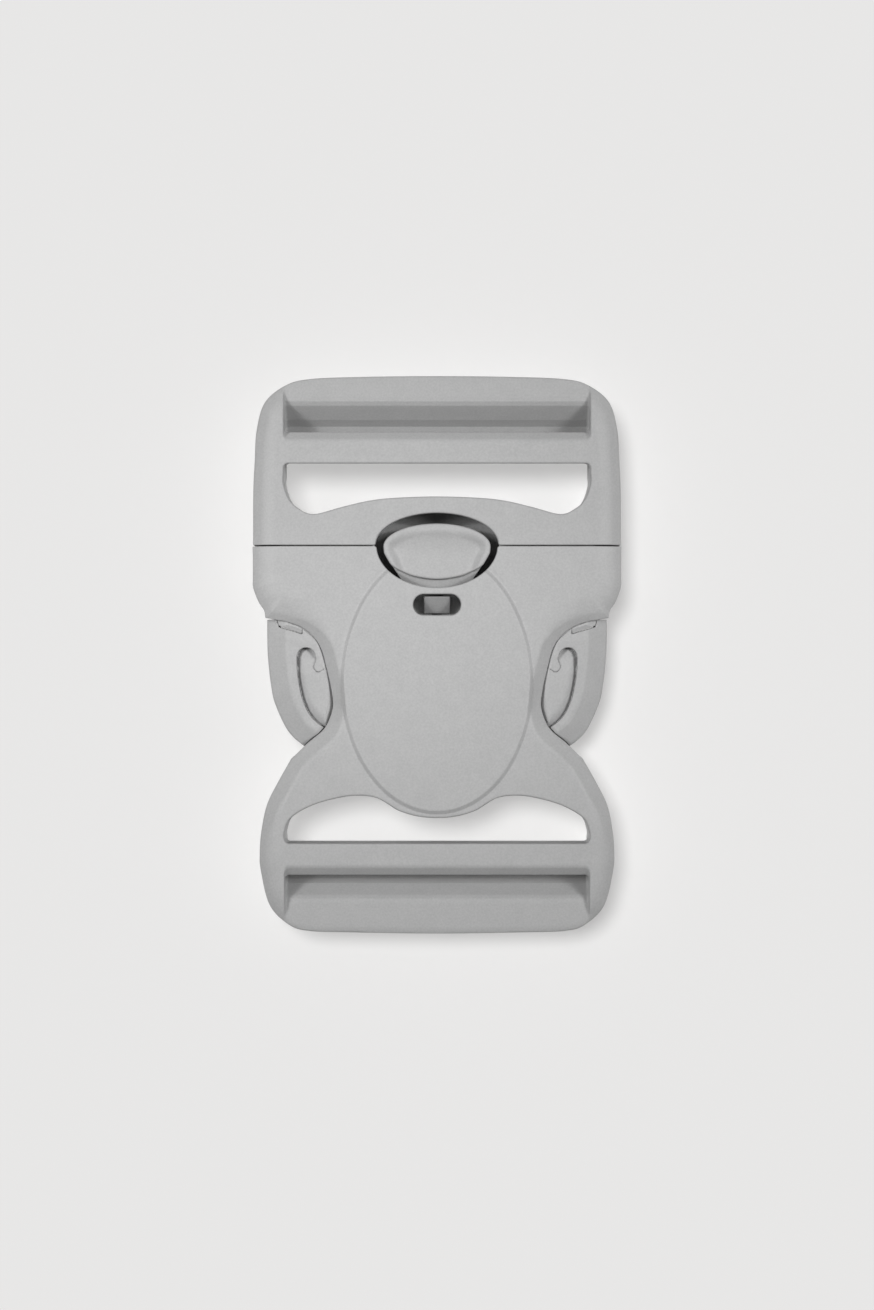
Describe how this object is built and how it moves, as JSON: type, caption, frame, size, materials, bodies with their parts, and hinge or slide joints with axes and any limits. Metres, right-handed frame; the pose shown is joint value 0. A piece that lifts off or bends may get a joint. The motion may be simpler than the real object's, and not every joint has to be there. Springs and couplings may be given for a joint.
{
  "type": "three-point side-release buckle",
  "caption": "Fastened plastic strap buckle: a plug with squeeze prongs and a centre press button, locked in a hollow socket with an oval face plate, with webbing bars at each end.",
  "frame": {"origin": "middle of the fastened buckle, on its flat back", "axes": "+X across the strap, +Y along the strap towards the plug end, +Z out of the face with the button"},
  "size_m": [0.0622, 0.094, 0.0145],
  "materials": {
    "grey_plastic": "fine matte moulded grain"
  },
  "bodies": {
    "root": {"plug": "grey_plastic", "socket": "grey_plastic"}
  },
  "joints": []
}
